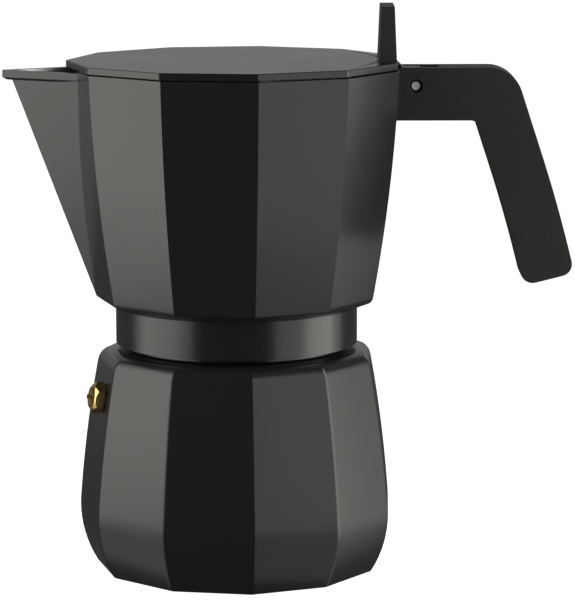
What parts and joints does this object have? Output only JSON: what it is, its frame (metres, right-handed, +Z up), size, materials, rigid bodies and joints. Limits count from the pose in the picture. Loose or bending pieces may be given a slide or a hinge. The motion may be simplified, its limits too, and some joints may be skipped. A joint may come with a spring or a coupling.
{
  "type": "moka pot",
  "caption": "Stovetop coffee maker with a faceted boiler and collector joined by a round collar, V-shaped spout, flat hinged lid with an upright tab knob, and a slanted side handle.",
  "frame": {"origin": "centre of the boiler's flat bottom face, on the pot's axis", "axes": "+Z up along the pot's axis, +X towards the handle, -X towards the spout, +Y along the lid's hinge pin"},
  "size_m": [0.2048, 0.1202, 0.2045],
  "materials": {
    "black_paint": "satin black enamel on cast aluminium",
    "black_plastic": "fine matt moulded thermoset",
    "brass": "turned brass",
    "fibre": "pressed red fibre",
    "spring_steel": "drawn stainless wire",
    "steel": "plain stainless steel",
    "bare_aluminium": "spun aluminium",
    "silicone": "moulded silicone"
  },
  "bodies": {
    "boiler_group": {"boiler": "black_paint", "valve_seal": "fibre", "valve_body": "brass", "valve_guide": "brass", "valve_spring": "spring_steel"},
    "plunger": {"valve_plunger": "brass"},
    "funnel": {"funnel_basket": "bare_aluminium", "funnel_tube": "bare_aluminium", "funnel_disc": "steel"},
    "seal": {"gasket": "silicone", "filter_plate": "steel"},
    "collector_group": {"collector": "black_paint", "coffee_column": "bare_aluminium", "handle": "black_plastic", "handle_screw": "steel", "hinge_pin": "steel"},
    "lid_group": {"lid": "black_paint", "knob": "black_plastic", "knob_screws": "steel"}
  },
  "joints": [
    {"name": "collector_lift", "type": "slide", "parent": "boiler_group", "child": "seal", "axis": [0, 0, 1], "range_m": [0, 0.19]},
    {"name": "collector_turn", "type": "hinge", "parent": "seal", "child": "collector_group", "pos_m": [0, 0, 0.0828], "axis": [0, 0, 1], "range_deg": [0, 900]},
    {"name": "funnel_lift", "type": "slide", "parent": "boiler_group", "child": "funnel", "axis": [0, 0, 1], "range_m": [0, 0.095]},
    {"name": "lid_hinge", "type": "hinge", "parent": "collector_group", "child": "lid_group", "pos_m": [0.0644, 0, 0.176], "axis": [0, 1, 0], "range_deg": [0, 87]},
    {"name": "valve_lift", "type": "slide", "parent": "boiler_group", "child": "plunger", "axis": [-0.9556, -0.25, 0.156], "range_m": [0, 0.0015], "stiffness_N_per_m": 600, "springref_m": -0.0025, "deforming": ["valve_spring"]}
  ],
  "couplings": [
    {"joint": "funnel_lift", "follows": "collector_lift", "ratio": 0.5}
  ]
}
